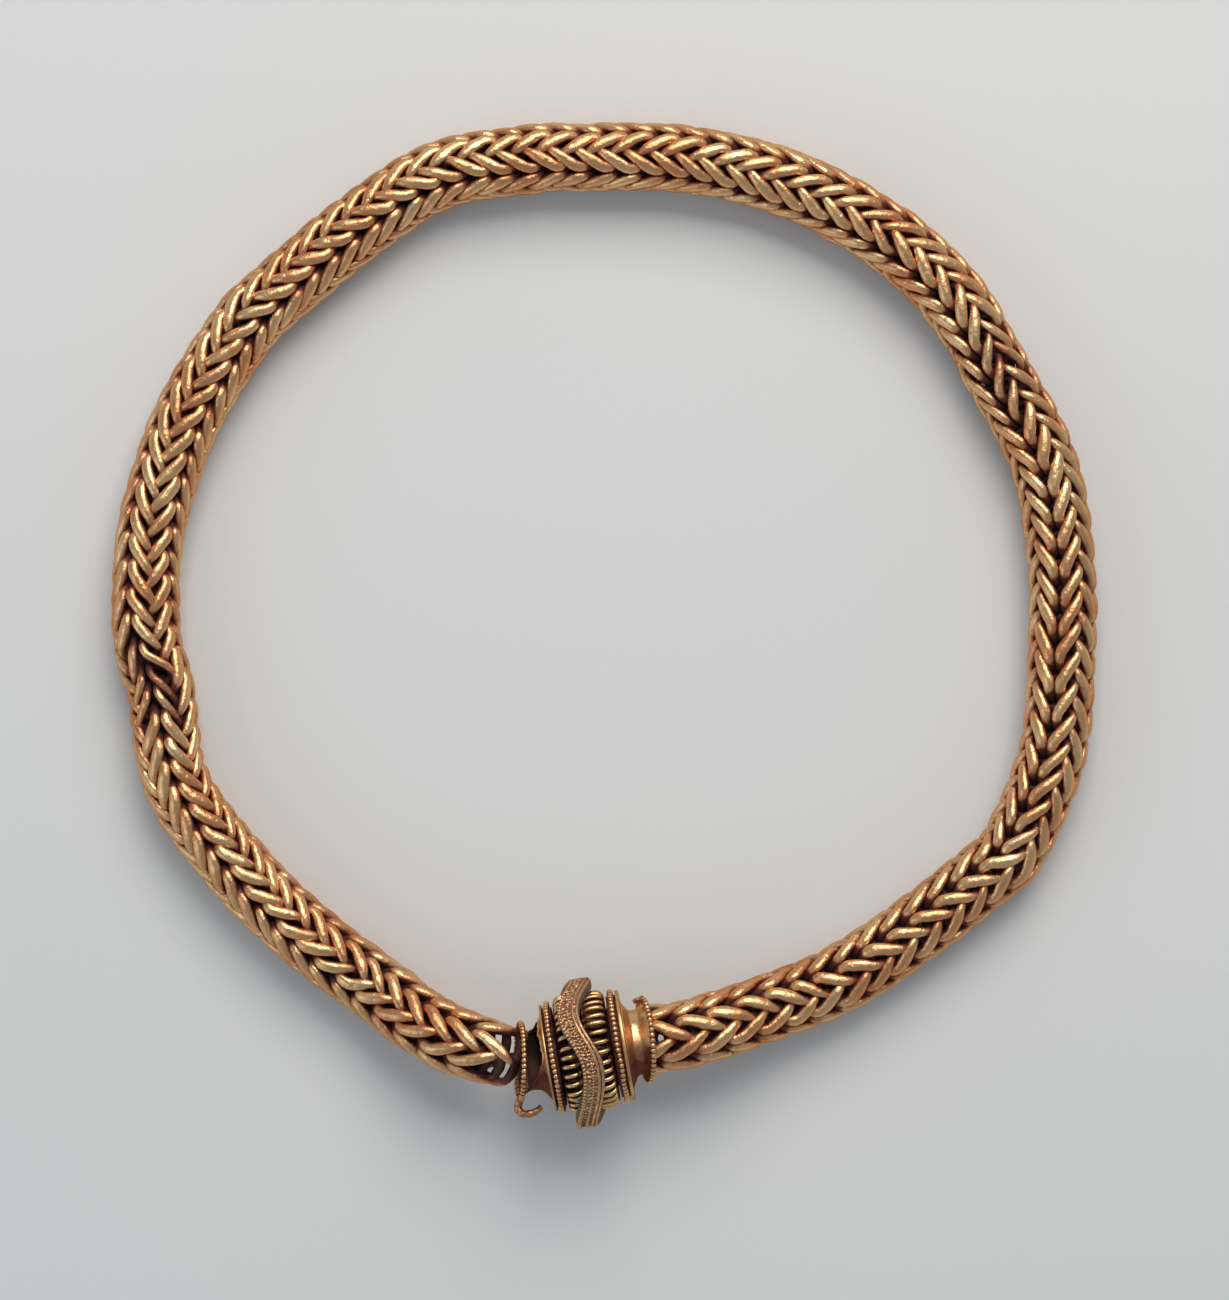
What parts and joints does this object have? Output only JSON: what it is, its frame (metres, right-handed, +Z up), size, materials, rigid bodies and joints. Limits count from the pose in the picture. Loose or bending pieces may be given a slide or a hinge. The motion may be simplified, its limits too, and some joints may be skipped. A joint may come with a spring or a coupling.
{
  "type": "necklace torc",
  "caption": "Gold necklace torc: a thick loop-in-loop chain bent into a ring, its ends in beaded collars on either side of a filigree ring clasp, one collar torn.",
  "frame": {"origin": "middle of the torc's box, on the surface it lies on", "axes": "+Z up through the neck opening, +Y away from the clasp, +X to the right seen from above with the clasp nearest"},
  "size_m": [0.1636, 0.1662, 0.0247],
  "materials": {
    "gold_wire": "hammered and worn gold wire, grime in the gaps",
    "gold_sheet": "thin gold sheet, satin, dented",
    "gold_beading": "beaded gold wire, bright on top",
    "gold_coil": "fine round gold wire",
    "gold_band": "filigree gold band, soiled in its recesses"
  },
  "bodies": {
    "root": {"gold_chain": "gold_wire", "clasp_sleeve": "gold_sheet", "clasp_border_left": "gold_beading", "clasp_border_right": "gold_beading", "clasp_coil_left": "gold_coil", "clasp_coil_right": "gold_coil", "clasp_serpentine_band": "gold_band", "terminal_collar_right": "gold_sheet", "terminal_rim_right": "gold_beading", "terminal_collar_left": "gold_sheet", "terminal_rim_left": "gold_beading"}
  },
  "joints": []
}
